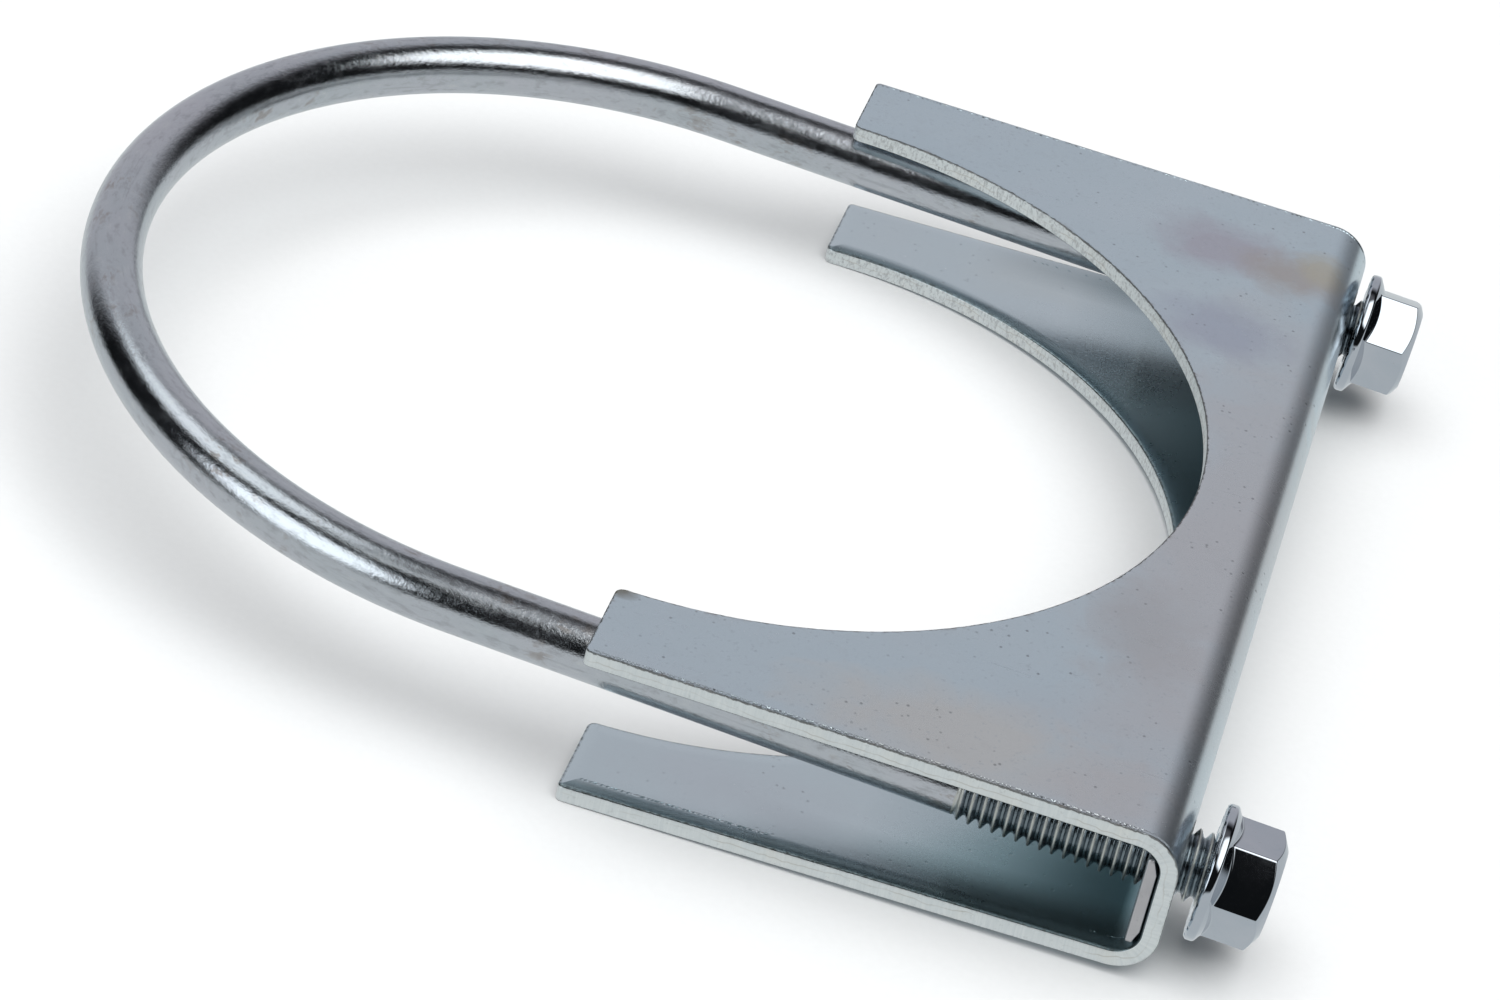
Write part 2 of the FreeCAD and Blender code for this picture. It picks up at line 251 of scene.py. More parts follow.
def corner_arc(cx, cy, radius, start, end, count):
    """Points along an arc, both ends included."""
    return [
        (
            cx + radius * math.cos(start + (end - start) * n / count),
            cy + radius * math.sin(start + (end - start) * n / count),
        )
        for n in range(count + 1)
    ]


# The saddle's section: a flat web, two bends and two splayed flanges, along its middle surface.
BEND = math.pi / 2 - SPLAY
BEND_MIDDLE = BEND_OUTER - GAUGE / 2
HALF_FLAT = WEB_HEIGHT / 2 - BEND_OUTER * math.tan(BEND / 2)
BEND_X = WEB_FACE - BEND_OUTER
BEND_LENGTH = BEND_MIDDLE * BEND
FLANGE_START = HALF_FLAT + BEND_LENGTH
FLANGE_X = BEND_X + BEND_MIDDLE * math.cos(BEND)
TIP_AT = FLANGE_START + (FLANGE_X + ARM_TIP - TIP_CLEAR) / math.sin(BEND)
SEAT_AT = FLANGE_START + FLANGE_X / math.sin(BEND)


def fold(s, out):
    """(x, z) of a point s along the blank from the web's middle, out from its middle surface."""
    side = 1 if s >= 0 else -1
    along = abs(s)
    if along <= HALF_FLAT:
        x, z = BEND_X + BEND_MIDDLE + out, along
    elif along <= FLANGE_START:
        turn = (along - HALF_FLAT) / BEND_MIDDLE
        reach = BEND_MIDDLE + out
        x, z = BEND_X + reach * math.cos(turn), HALF_FLAT + reach * math.sin(turn)
    else:
        run = along - FLANGE_START
        reach = BEND_MIDDLE + out
        x = BEND_X + reach * math.cos(BEND) - run * math.sin(BEND)
        z = HALF_FLAT + reach * math.sin(BEND) + run * math.cos(BEND)
    return x, side * z


def arm_end(inset):
    """The upper arm's end at +Y, from its outer edge round to the seat."""
    half = SPAN / 2 - inset
    tip = TIP_AT - inset
    outer = max(LEAST_ROUND, OUTER_ROUND - inset)
    inner = max(LEAST_ROUND, INNER_ROUND - inset)
    centre_s = tip - inner
    reach = SEAT_RADIUS + inset + inner
    centre_y = math.sqrt(reach ** 2 - (centre_s - SEAT_AT) ** 2)
    towards = math.atan2(-centre_y, SEAT_AT - centre_s)
    first = corner_arc(tip - outer, half - outer, outer, math.pi / 2, 0, 6)
    second = corner_arc(centre_s, centre_y, inner, 0, towards, 8)
    return first, second


def saddle_outline(inset):
    """The saddle's flat blank, with s across and y along the saddle."""
    first, second = arm_end(inset)
    radius = SEAT_RADIUS + inset
    s, y = second[-1]
    start = math.atan2(y, s - SEAT_AT)
    seat = corner_arc(SEAT_AT, 0, radius, start, TURN - start, SEAT_POINTS)[1:-1]
    across = [first[-1]] + tip_points(first[-1], second[0])
    end = first[:-1] + across + second
    upper = end + seat + [(p, -q) for p, q in reversed(end)]
    loop = []
    for side in (1, -1):
        loop += [(side * p, side * q) for p, q in upper]
        loop += edge_points(loop[-1])
    return loop


def tip_points(start, end):
    """Points across an arm's end, without its two ends."""
    return [
        tuple(a + (b - a) * n / TIP_POINTS for a, b in zip(start, end))
        for n in range(1, TIP_POINTS)
    ]


def edge_points(start):
    """Points down a long edge to the other flange's arm, without its two ends."""
    s, y = start
    return [(s - 2 * s * n / EDGE_POINTS, y) for n in range(1, EDGE_POINTS)]


def leg_hole(y, bend):
    """A leg hole's outline, set in by growing it; bend says that it runs into the bends."""

    def outline(inset):
        loop = []
        radius = HOLE_RADIUS + inset
        for n in range(HOLE_POINTS):
            angle = TURN * n / HOLE_POINTS
            z = radius * math.sin(angle)
            if bend and abs(z) > HALF_FLAT:
                over = math.asin((abs(z) - HALF_FLAT) / BEND_MIDDLE) * BEND_MIDDLE
                z = math.copysign(HALF_FLAT + over, z)
            loop.append((z, y + radius * math.cos(angle)))
        return loop

    return outline


def shear_rings(thick, roll, depth, burr):
    """An edge cut by a die: torn and burred at the outer face, rolled over at the inner one."""
    top = thick / 2
    return [
        (0.75, top, 0.0),
        (0.28, top, 0.0),
        (0.12, top - 0.01, burr * 0.3),
        (0.02, top - 0.06, burr),
        (0.0, top - 0.18, burr * 0.4),
        (0.0, top - 0.30 * thick, 0.0),
        (0.0, -top + depth + 0.22, 0.0),
        (0.05, -top + depth + 0.08, 0.0),
        (0.16, -top + depth * 0.86, 0.0),
        (0.16 + 0.16 * roll, -top + depth * 0.58, 0.0),
        (0.16 + 0.36 * roll, -top + depth * 0.31, 0.0),
        (0.16 + 0.60 * roll, -top + depth * 0.12, 0.0),
        (0.16 + 0.82 * roll, -top + depth * 0.02, 0.0),
        (0.16 + roll, -top, 0.0),
    ]


def finished_plate(name, bm, mapped):
    """Fold a plate into place and keep its flat coordinates for the material."""
    bm.normal_update()
    cut = [abs(face.normal.z) < 0.35 for face in bm.faces]
    flat = [v.co.copy() for v in bm.verts]
    for face, is_cut in zip(bm.faces, cut):
        face.smooth = True
        face.material_index = 1 if is_cut else 0
    for vert in bm.verts:
        vert.co = Vector(mapped(*vert.co)) * MM
    mesh = bpy.data.meshes.new(name)
    bm.to_mesh(mesh)
    bm.free()
    obj = bpy.data.objects.new(name, mesh)
    bpy.context.scene.collection.objects.link(obj)
    keep_vector(obj, "blank", [tuple(c * MM for c in v) for v in flat])
    outward(obj)
    weigh_normals(obj)
    return obj


def make_saddle():
    """The saddle: a blank with its two seats and two leg holes, folded into a channel."""
    outlines = [saddle_outline] + [leg_hole(side * LEG_SPACING / 2, True) for side in (-1, 1)]
    bm = plate(outlines, shear_rings(GAUGE, 2.3, 0.36, 0.03))
    cuts = [HALF_FLAT + BEND_LENGTH * n / BEND_STEPS for n in range(BEND_STEPS + 1)]
    cut_across(bm, [side * c for c in cuts for side in (-1, 1)], 0)

    def folded(s, y, out):
        x, z = fold(s, out)
        return x, y, z

    return finished_plate("saddle_sheet", bm, folded)


def strap_outline(inset):
    """The backing strap's flat outline, with its height across and y along it."""
    half_y = SPAN / 2 - STRAP_INSET - inset
    half_z = STRAP_HEIGHT / 2 - inset
    corner = max(LEAST_ROUND, STRAP_CORNER - inset)
    loop = []
    for quarter, (z, y) in enumerate(((1, 1), (-1, 1), (-1, -1), (1, -1))):
        start = quarter * TURN / 4
        centre = (z * (half_z - corner), y * (half_y - corner))
        loop += corner_arc(*centre, corner, start, start + TURN / 4, 5)
    return loop


def make_strap():
    """The backing strap, its long edges relieved to clear the bends."""
    outlines = [strap_outline] + [leg_hole(side * LEG_SPACING / 2, False) for side in (-1, 1)]
    bm = plate(outlines, shear_rings(STRAP_GAUGE, 0.7, 0.12, 0.04))
    cut_across(bm, [-STRAP_FLAT / 2, STRAP_FLAT / 2], 0)
    back = WEB_FACE - GAUGE - STRAP_GAUGE
    slope = STRAP_RELIEF / (STRAP_HEIGHT / 2 - STRAP_FLAT / 2)

    def placed(z, y, out):
        relief = slope * max(0.0, abs(z) - STRAP_FLAT / 2)
        forward = max(0.0, out) / (STRAP_GAUGE / 2)
        return back + STRAP_GAUGE / 2 + out - relief * forward, y, z

    return finished_plate("strap_sheet", bm, placed)


# ---------------------------------------------------------------- round pieces

def wrap(value):
    """Distance from the nearest whole number."""
    return abs(value - round(value))


def bolt_radius(x, angle):
    """(radius, how deep in the thread) of a leg at x in the bolt frame."""
    if x <= -THREAD_BACK:
        return SHANK, 0.0
    away = wrap((x + THREAD_BACK - PITCH / 2) / PITCH - angle / TURN) * PITCH
    half_mouth = (PITCH - CREST_FLAT) / 2
    cut = min(DEPTH, max(0.0, (half_mouth - away) / TAN30))
    lead = smooth_step((x + THREAD_BACK) / (0.8 * PITCH))
    radius = SHANK + (CREST - cut - SHANK) * lead
    limit = CREST - LEG_BEVEL - 0.02 + (LEG_AHEAD - x)
    return min(radius, limit), cut * lead / DEPTH


def grid_faces(rows, columns, closed):
    """Quads between rows of points, each a loop; closed also joins the last row to the first."""
    return [
        (
            i * columns + k,
            i * columns + (k + 1) % columns,
            (i + 1) % rows * columns + (k + 1) % columns,
            (i + 1) % rows * columns + k,
        )
        for i in range(rows if closed else rows - 1)
        for k in range(columns)
    ]


def bolt_stations():
    """Where the tube's rings go: x, y, the sweep's direction, and x again if on a leg."""
    half = LEG_SPACING / 2
    rows = int((LEG_AHEAD + THREAD_BACK) / PITCH * ROWS_PER_PITCH)
    xs = [LEG_AHEAD - (LEG_AHEAD + THREAD_BACK) * n / rows for n in range(rows + 1)]
    plain = BOW_BACK - THREAD_BACK
    xs += [-THREAD_BACK - plain * n / SHANK_ROWS for n in range(1, SHANK_ROWS + 1)]
    stations = [(x, -half, (-1, 0), x) for x in xs]
    for n in range(1, BOW_ROWS):
        turn = math.pi * n / BOW_ROWS
        x = -BOW_BACK - half * math.sin(turn)
        stations.append((x, -half * math.cos(turn), (-math.cos(turn), math.sin(turn)), None))
    return stations + [(x, half, (1, 0), x) for x in reversed(xs)]


def make_u_bolt():
    """A tube swept along both legs and the bow, threaded on the legs and closed at its ends."""
    stations = bolt_stations()
    verts = []
    straight = []
    thread = []
    run = 0.0
    previous = stations[0][:2]
    for x, y, tangent, leg_x in stations:
        run += math.dist(previous, (x, y))
        previous = (x, y)
        side = (-tangent[1], tangent[0])
        threaded = 1.0 if leg_x is not None and leg_x > -THREAD_BACK else 0.0
        for k in range(ROD_POINTS):
            angle = TURN * k / ROD_POINTS
            radius, deep = SHANK, 0.0
            if leg_x is not None:
                # The thread's phase is counted about +X from +Y, whichever way the sweep runs.
                radius, deep = bolt_radius(leg_x, angle if y > 0 else math.pi - angle)
            across, up = math.cos(angle), math.sin(angle)
            reach = radius * across
            verts.append(bolt_frame(x + side[0] * reach, y + side[1] * reach, radius * up))
            straight.append((run * MM, SHANK * across * MM, SHANK * up * MM))
            thread.append((deep, threaded, 0.0))
    faces = grid_faces(len(stations), ROD_POINTS, False)
    for row, side in ((0, -1), (len(stations) - 1, 1)):
        base = row * ROD_POINTS
        centre = bolt_frame(LEG_AHEAD, side * LEG_SPACING / 2, 0)
        rim = list(range(base, base + ROD_POINTS))
        for scale in END_RINGS:
            ring = list(range(len(verts), len(verts) + ROD_POINTS))
            for k in range(ROD_POINTS):
                corner = verts[base + k]
                verts.append(tuple(c + (v - c) * scale for c, v in zip(centre, corner)))
                straight.append(straight[base + k])
                thread.append((0.0, 1.0, 1.0))
            for k in range(ROD_POINTS):
                after = (k + 1) % ROD_POINTS
                faces.append((rim[k], rim[after], ring[after], ring[k]))
            rim = ring
        tip = len(verts)
        verts.append(centre)
        straight.append(straight[base])
        thread.append((0.0, 1.0, 1.0))
        faces += [(rim[k], rim[(k + 1) % ROD_POINTS], tip) for k in range(ROD_POINTS)]
    obj = new_piece("u_bolt_rod", verts, faces)
    keep_vector(obj, "rod", straight)
    keep_vector(obj, "thread", thread)
    outward(obj)
    sharpen(obj)
    return obj


def sharpen(obj):
    """Edges that turn far enough shade as edges."""
    bm = bmesh.new()
    bm.from_mesh(obj.data)
    limit = math.radians(SHARP_TURN)
    for edge in bm.edges:
        edge.smooth = len(edge.link_faces) != 2 or edge.calc_face_angle(0) < limit
    bm.to_mesh(obj.data)
    bm.free()


def soft_corner(before, corner, after, radius, count):
    """Points that round one corner of a profile."""
    a = Vector(before) - Vector(corner)
    b = Vector(after) - Vector(corner)
    reach_a, reach_b = a.length, b.length
    a.normalize()
    b.normalize()
    half = a.angle(b) / 2
    back = min(radius / math.tan(half), 0.45 * reach_a, 0.45 * reach_b)
    radius = back * math.tan(half)
    middle = (a + b).normalized() * (radius / math.sin(half)) + Vector(corner)
    start = Vector(corner) + a * back - middle
    end = Vector(corner) + b * back - middle
    points = []
    for n in range(count + 1):
        t = n / count
        sweep = start.angle(end)
        mix = (start * math.sin((1 - t) * sweep) + end * math.sin(t * sweep)) / math.sin(sweep)
        points.append(tuple(middle + mix))
    return points


def hex_radius(angle):
    """The hexagon's radius at this angle, its corners rounded."""
    sixth = TURN / 6
    off = (angle + sixth / 2) % sixth - sixth / 2
    inner = FLATS / 2 - HEX_ROUND
    touch = math.atan(inner * TAN30 / (FLATS / 2))
    if abs(off) <= touch:
        return FLATS / 2 / math.cos(off)
    delta = sixth / 2 - abs(off)
    centre = inner / math.cos(sixth / 2)
    return centre * math.cos(delta) + math.sqrt(HEX_ROUND ** 2 - (centre * math.sin(delta)) ** 2)


def nut_profile(angle):
    """The nut's closed profile at one angle, as (x, radius) points, without its thread.

    Each corner has the radius that rounds it and how many steps the round takes.
    """
    bore = CREST - DEPTH + ROOM
    hexagon = hex_radius(angle)
    cone_meet = RIM_END + CONE_RISE * (FLANGE - hexagon)
    bevel_meet = NUT_HEIGHT - (hexagon - END_RING) * TAN30
    corners = [
        ((COUNTERSINK, bore), 0, 0),
        ((0, bore + COUNTERSINK), 0.08, 1),
        ((0, FLANGE - GROOVE_REACH - 0.35), 0, 0),
        ((0, FLANGE - GROOVE_REACH), 0, 0),
        ((0, (FLANGE - GROOVE_REACH + FACE_RADIUS) / 2), 0, 0),
        ((0, FACE_RADIUS), 0.12, 2),
        ((RIM_START, FLANGE), 0.35, 3),
        ((RIM_END, FLANGE), 0.5, 4),
        ((cone_meet, hexagon), 0.5, 4),
        ((bevel_meet, hexagon), 0.22, 3),
        ((NUT_HEIGHT, END_RING), 0.15, 2),
        ((NUT_HEIGHT, bore + COUNTERSINK), 0.06, 1),
        ((NUT_HEIGHT - COUNTERSINK, bore), 0, 0),
    ]
    points = []
    for n, (corner, radius, count) in enumerate(corners):
        if count == 0:
            points.append(corner)
            continue
        before, after = corners[n - 1][0], corners[(n + 1) % len(corners)][0]
        points += soft_corner(before, corner, after, radius, count)
    return points


def serration(radius, angle):
    """How far the bearing face is cut back here."""
    off = wrap(angle / TURN * GROOVES) * TURN / GROOVES * radius
    inner = FLANGE - GROOVE_REACH
    fade = smooth_step((radius - inner + 0.3) / 0.3)
    return GROOVE_DEPTH * max(0.0, 1 - off / GROOVE_HALF) * fade


def nut_angles():
    """Angles round the nut, closer together at the hexagon's corners."""
    angles = {round(1.5 * n, 4) for n in range(240)}
    for corner in range(30, 360, 60):
        angles |= {round(corner + step, 4) for step in (-3, -2.25, -1, -0.5, 0, 0.5, 1, 2.25, 3)}
    return [math.radians(a) for a in sorted(angles)]


def bore_profile(angle):
    """The threaded bore at one angle, as (x, radius, depth) points from the end to the face."""
    bore = CREST - DEPTH + ROOM
    start, end = COUNTERSINK, NUT_HEIGHT - COUNTERSINK
    rows = int(NUT_HEIGHT / PITCH * BORE_ROWS_PER_PITCH)
    points = []
    for n in range(rows + 1):
        x = (end + BORE_LIP) - (end - start + 2 * BORE_LIP) * n / rows
        away = wrap(x / PITCH - angle / TURN) * PITCH
        cut = min(DEPTH, max(0.0, DEPTH - (away - CREST_FLAT / 2) / TAN30))
        cone = bore + max(0.0, start - x, x - end)
        points.append((x, max(bore + cut, cone), cut / DEPTH))
    return points


def make_nut(name, side, pitches, turn_degrees):
    """A flange nut on the leg at one side, so many pitches up its thread."""
    angles = nut_angles()
    ahead = PITCH * (pitches + turn_degrees / 360) - THREAD_BACK
    turn = math.radians(turn_degrees)
    verts = []
    thread = []
    for angle in angles:
        outside = nut_profile(angle)[1:-1]
        profile = [(max(x, serration(radius, angle)), radius, 0.0) for x, radius in outside]
        profile += bore_profile(angle)
        for x, radius, deep in profile:
            across = side * LEG_SPACING / 2 + radius * math.cos(angle + turn)
            verts.append(bolt_frame(ahead + x, across, radius * math.sin(angle + turn)))
            thread.append((deep, 1.0, 0.0))
    obj = new_piece(name, verts, grid_faces(len(angles), len(profile), True))
    keep_vector(obj, "thread", thread)
    outward(obj)
    sharpen(obj)
    return obj


# ---------------------------------------------------------------- materials

class Graph:
    """A short way to write a node tree."""

    def __init__(self, tree):
        self.tree = tree
        tree.nodes.clear()

    def node(self, kind, **settings):
        made = self.tree.nodes.new(kind)
        for key, value in settings.items():
            setattr(made, key, value)
        return made

    def put(self, value, socket):
        """Link an output, or set a constant on the socket itself."""
        if isinstance(value, bpy.types.NodeSocket):
            self.tree.links.new(value, socket)
        else:
            socket.default_value = value

    def math(self, kind, *values):
        made = self.node("ShaderNodeMath", operation=kind)
        for value, socket in zip(values, made.inputs):
            self.put(value, socket)
        return made.outputs[0]

    def times(self, a, b):
        return self.math("MULTIPLY", a, b)

    def plus(self, a, b):
        return self.math("ADD", a, b)

    def vector(self, kind, a, b, output="Vector"):
        made = self.node("ShaderNodeVectorMath", operation=kind)
        self.put(a, made.inputs[0])
        self.put(b, made.inputs[1])
        return made.outputs[output]

    def ramp(self, value, low, high, to_low=0.0, to_high=1.0, shape="LINEAR"):
        """to_low at low and to_high at high, and no further; low may be the larger."""
        made = self.node("ShaderNodeMapRange", interpolation_type=shape)
        self.put(value, made.inputs["Value"])
        made.inputs["From Min"].default_value = low
        made.inputs["From Max"].default_value = high
        made.inputs["To Min"].default_value = to_low
        made.inputs["To Max"].default_value = to_high
        return made.outputs[0]

    def step(self, value, low, high):
        return self.ramp(value, low, high, shape="SMOOTHSTEP")

    def blend(self, factor, a, b):
        made = self.node("ShaderNodeMix", data_type="RGBA")
        self.put(factor, made.inputs[0])
        self.put(a, made.inputs[6])
        self.put(b, made.inputs[7])
        return made.outputs[2]

    def split(self, vector):
        made = self.node("ShaderNodeSeparateXYZ")
        self.put(vector, made.inputs[0])
        return made.outputs

    def disc(self, way, azimuth, elevation, outer, inner):
        """1 inside a round light of this angular radius, in degrees, and 0 outside it."""
        facing = self.vector("DOT_PRODUCT", way, direction(azimuth, elevation), "Value")
        return self.step(facing, math.cos(math.radians(outer)), math.cos(math.radians(inner)))


class Shader(Graph):
    """A material: one principled shader and the nodes that feed it."""

    def __init__(self, name):
        self.material = bpy.data.materials.new(name)
        self.material.use_nodes = True
        super().__init__(self.material.node_tree)
        self.bsdf = self.node("ShaderNodeBsdfPrincipled")
        out = self.node("ShaderNodeOutputMaterial")
        self.put(self.bsdf.outputs[0], out.inputs["Surface"])

    def metal(self, tone, rough, normal):
        """Finish a bare metal material."""
        self.bsdf.inputs["Metallic"].default_value = 1.0
        self.put(tone, self.bsdf.inputs["Base Color"])
        self.put(rough, self.bsdf.inputs["Roughness"])
        self.put(normal, self.bsdf.inputs["Normal"])
        return self.material

    def attribute(self, name, output="Vector"):
        return self.node("ShaderNodeAttribute", attribute_name=name).outputs[output]

    def object_coordinates(self):
        return self.node("ShaderNodeTexCoord").outputs["Object"]

    def scaled(self, vector, scale):
        made = self.node("ShaderNodeMapping")
        self.put(vector, made.inputs["Vector"])
        made.inputs["Scale"].default_value = scale
        return made.outputs[0]

    def noise(self, vector, scale, detail=2.0, roughness=0.5, distortion=0.0):
        made = self.node("ShaderNodeTexNoise")
        self.put(vector, made.inputs["Vector"])
        made.inputs["Scale"].default_value = scale
        made.inputs["Detail"].default_value = detail
        made.inputs["Roughness"].default_value = roughness
        made.inputs["Distortion"].default_value = distortion
        return made.outputs["Fac"]

    def cells(self, vector, scale):
        made = self.node("ShaderNodeTexVoronoi")
        self.put(vector, made.inputs["Vector"])
        made.inputs["Scale"].default_value = scale
        return made.outputs["Distance"]

    def bump(self, height, strength, distance, normal=None):
        made = self.node("ShaderNodeBump")
        self.put(height, made.inputs["Height"])
        self.put(strength, made.inputs["Strength"])
        made.inputs["Distance"].default_value = distance
        if normal is not None:
            self.put(normal, made.inputs["Normal"])
        return made.outputs[0]


def patch(m, at, centre, reach, ragged):
    """1 inside a ragged ellipsoid about a point in millimetres, falling to 0 at its rim."""
    moved = m.vector("SUBTRACT", at, [c * MM for c in centre])
    squashed = m.vector("DIVIDE", moved, [c * MM for c in reach])
    away = m.node("ShaderNodeVectorMath", operation="LENGTH")
    m.put(squashed, away.inputs[0])
    return m.ramp(m.plus(away.outputs["Value"], ragged), 1.0, 0.35)


# Faint tints of the passivated zinc: centre and reach in millimetres, colour, strength.
TINTS = (
    ((70, -10, 12), (19, 78, 9), (0.655, 0.66, 0.675, 1), 0.80),
    ((46, -72, 12), (26, 12, 9), (0.73, 0.71, 0.675, 1), 0.80),
    ((66, -74, 11), (14, 11, 9), (0.68, 0.665, 0.67, 1), 0.70),
    ((56, 63, 12), (14, 9, 9), (0.54, 0.515, 0.575, 1), 0.80),
    ((67, 61, 11), (9, 8, 9), (0.54, 0.50, 0.47, 1), 0.85),
    ((60, 40, 11), (12, 9, 9), (0.51, 0.545, 0.64, 1), 0.75),
    ((71, 65, 11), (5, 6, 8), (0.61, 0.575, 0.47, 1), 0.80),
    ((64, -38, 11), (9, 16, 9), (0.56, 0.555, 0.56, 1), 0.60),
    ((20, -70, -9), (18, 8, 8), (0.62, 0.63, 0.70, 1), 0.50),
    ((30, 72, -9), (16, 8, 8), (0.66, 0.66, 0.63, 1), 0.40),
    ((77, 20, 0), (6, 40, 9), (0.66, 0.64, 0.62, 1), 0.50),
)


# Where the brown spot on the near arm is, and how far it reaches, in millimetres.
SPOT_AT = (-1.0, -64.6, 12)
SPOT_REACH = (3.0, 2.2, 4.0)

# Colours of the sheet: its two ground tones, then the marks on them.
SHEET_LOW = (0.605, 0.70, 0.755, 1)
SHEET_HIGH = (0.665, 0.745, 0.795, 1)
WARM_CAST = (0.665, 0.65, 0.66, 1)
GRAIN_DARK = (0.43, 0.48, 0.51, 1)
GRAIN_PALE = (0.76, 0.80, 0.82, 1)
PIT_DARK = (0.17, 0.18, 0.19, 1)
# The burr line's dark: partly the burr's own tone, partly a painted dark reflection.
BURR_AND_REFLECTION_DARK = (0.10, 0.095, 0.09, 1)
SMUDGE_BROWN = (0.33, 0.29, 0.27, 1)
SPOT_BROWN = (0.21, 0.18, 0.12, 1)
# Colours inside the channel: a paler inner face, then painted dark reflections and shade deep in
# it, at its ends, on its rolled edges and in its corners.
INSIDE = (0.72, 0.79, 0.81, 1)
PAINTED_RECESS_NEAR = (0.28, 0.40, 0.43, 1)
PAINTED_RECESS_FAR = (0.17, 0.26, 0.29, 1)
PAINTED_ENDS_DARK = (0.12, 0.175, 0.19, 1)
PAINTED_ROLL_DARK = (0.22, 0.30, 0.33, 1)
PAINTED_CORNER_DARK = (0.12, 0.14, 0.14, 1)


def sheet_ground(m, at, cloud, ragged, grain):
    """The plate's own tone: clouded, tinted in patches and finely grained."""
    tone = m.blend(m.ramp(cloud, 0.30, 0.72), SHEET_LOW, SHEET_HIGH)
    for centre, reach, colour, strength in TINTS:
        tone = m.blend(m.times(patch(m, at, centre, reach, ragged), strength), tone, colour)
    warm = m.noise(at, 21, 2, 0.5, 0.4)
    tone = m.blend(m.ramp(warm, 0.56, 0.74, 0, 0.45), tone, WARM_CAST)
    tone = m.blend(m.ramp(grain, 0.42, 0.28, 0, 0.34), tone, GRAIN_DARK)
    return m.blend(m.ramp(grain, 0.60, 0.74, 0, 0.22), tone, GRAIN_PALE)


def inside_tone(m, at, inset, recess, inner, tone):
    """Darker tones inside the channel, in its bends and at its rolled edges.

    They stand in for part of the dark reflections there, by place on the sheet.
    """
    x, y, _ = m.split(at)
    ends = m.ramp(m.math("ABSOLUTE", y), 0.0695, 0.0750)
    painted_end_dark = m.times(m.times(inner, m.ramp(x, 0.020, 0.055)), ends)
    tilt = m.split(m.node("ShaderNodeNewGeometry").outputs["Normal"])[1]
    rolled = m.times(inner, m.ramp(tilt, -0.01, -0.16))
    corner = m.times(inner, m.ramp(inset, INNER_SIDE + 0.5, INNER_SIDE + 0.2))
    mottled = m.ramp(m.noise(at, 1900, 3, 0.6), 0.40, 0.62, 0.25, 1.0)
    deep = m.blend(m.ramp(y, 0.0, 0.04), PAINTED_RECESS_NEAR, PAINTED_RECESS_FAR)
    tone = m.blend(m.times(inner, 0.5), tone, INSIDE)
    tone = m.blend(recess, tone, deep)
    tone = m.blend(m.times(painted_end_dark, 0.8), tone, PAINTED_ENDS_DARK)
    tone = m.blend(m.times(rolled, 0.6), tone, PAINTED_ROLL_DARK)
    return m.blend(m.times(corner, mottled), tone, PAINTED_CORNER_DARK)


def sheet_zinc():
    """Satin zinc plate on rolled sheet: faintly tinted, speckled, finely pitted and scratched."""
    m = Shader("sheet_zinc")
    at = m.object_coordinates()
    inset = m.attribute("inset", "Fac")
    cloud = m.noise(at, 34, 3, 0.55, 0.6)
    ragged = m.ramp(m.noise(at, 120, 3, 0.6, 0.5), 0.2, 0.8, -0.3, 0.3)
    grain = m.noise(at, 1500, 3, 0.6)
    inner = m.ramp(inset, INNER_SIDE - 0.4, INNER_SIDE - 0.1)
    recess = m.times(inner, m.ramp(m.split(at)[0], 0.036, 0.072))

    pit = m.times(m.ramp(m.cells(at, 560), 0.16, 0.07), m.ramp(m.noise(at, 90, 2), 0.46, 0.58))
    burr = m.ramp(m.plus(inset, m.ramp(grain, 0.25, 0.75, -0.16, 0.16)), 0.26, 0.12)
    blotch = m.ramp(m.noise(at, 330, 4, 0.7, 0.8), 0.54, 0.66)
    smudge = m.times(m.ramp(inset, 0.80, 0.20), blotch)
    spot = patch(m, at, SPOT_AT, SPOT_REACH, m.times(ragged, 2.0))
    tone = sheet_ground(m, at, cloud, ragged, grain)
    tone = m.blend(m.times(pit, 0.5), tone, PIT_DARK)
    # Painted dark reflections and shade inside the channel.
    tone = inside_tone(m, at, inset, recess, inner, tone)
    # A dark line along the outer face's edges: partly the burr's own tone, partly a painted dark
    # reflection.
    tone = m.blend(m.times(burr, 0.85), tone, BURR_AND_REFLECTION_DARK)
    tone = m.blend(m.times(smudge, 0.5), tone, SMUDGE_BROWN)
    tone = m.blend(m.times(spot, 0.75), tone, SPOT_BROWN)

    along = m.ramp(m.noise(m.scaled(at, (45, 2300, 45)), 1.0, 2, 0.5), 0.70, 0.76)
    scratches = m.times(along, m.ramp(m.noise(at, 45, 2), 0.54, 0.64))
    rough = m.plus(m.ramp(cloud, 0.3, 0.7, 0.20, 0.25), m.ramp(grain, 0.3, 0.7, -0.02, 0.04))
    rough = m.plus(rough, m.times(recess, 0.10))
    rough = m.plus(rough, m.times(scratches, 0.08))
    rough = m.plus(rough, m.times(burr, 0.25))

    normal = m.bump(m.noise(at, 38, 2, 0.4), m.ramp(recess, 0, 1, 0.30, 0.08), 0.00025)
    normal = m.bump(grain, m.ramp(recess, 0, 1, 0.28, 0.05), 0.00002, normal)
    normal = m.bump(m.plus(pit, m.times(scratches, 0.35)), 0.4, -0.00004, normal)
    return m.metal(tone, rough, normal)


# Colours of a sheared edge.
EDGE_LOW = (0.755, 0.785, 0.785, 1)
EDGE_HIGH = (0.87, 0.89, 0.88, 1)
EDGE_YELLOW = (0.86, 0.83, 0.76, 1)
EDGE_GREY = (0.50, 0.51, 0.50, 1)
SEAT_PIT = (0.42, 0.42, 0.42, 1)
FRACTURE = (0.50, 0.46, 0.40, 1)
EDGE_BURR_AND_REFLECTION = (0.13, 0.125, 0.12, 1)


